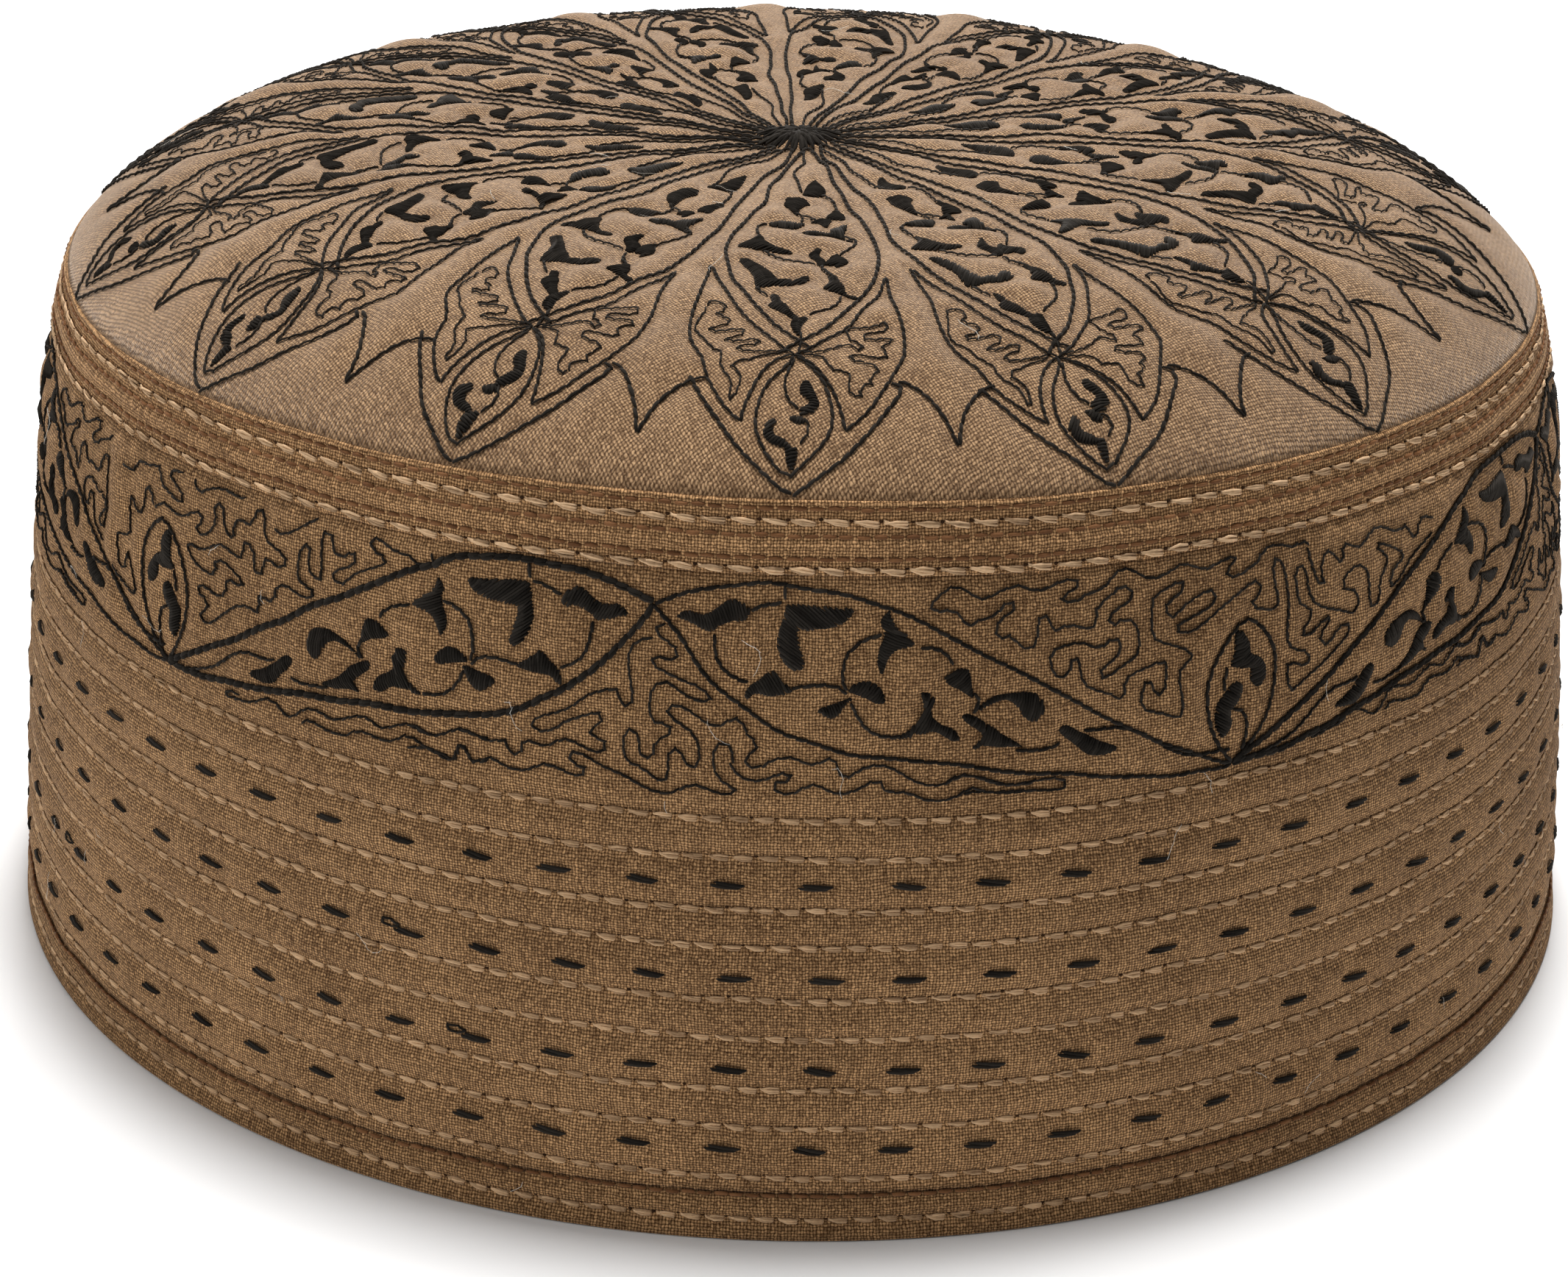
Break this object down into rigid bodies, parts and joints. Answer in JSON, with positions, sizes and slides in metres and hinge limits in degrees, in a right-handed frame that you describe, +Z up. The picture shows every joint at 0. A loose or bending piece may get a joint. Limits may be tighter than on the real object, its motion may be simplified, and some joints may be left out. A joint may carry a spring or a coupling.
{
  "type": "embroidered skullcap",
  "caption": "Round cloth skullcap with a quilted, straight-sided band and a low, flat-topped crown with a rounded edge, embroidered all over in dark scrolling petals and leaves; open below for the head.",
  "frame": {"origin": "middle of the lower rim, on the surface that the cap stands on", "axes": "+Z up through the middle of the crown, the wearer's forehead towards -Y, +X to the wearer's left"},
  "size_m": [0.1884, 0.1884, 0.0914],
  "materials": {
    "band_cloth": "plain-woven wool cloth, matt, quilted in rows",
    "crown_cloth": "plain-woven wool cloth, matt, embroidered",
    "top_binding_cloth": "plain-woven wool strip, matt",
    "hem_binding_cloth": "plain-woven wool strip, matt"
  },
  "bodies": {
    "root": {"side_band": "band_cloth", "crown": "crown_cloth", "top_binding": "top_binding_cloth", "hem_binding": "hem_binding_cloth"}
  },
  "joints": []
}
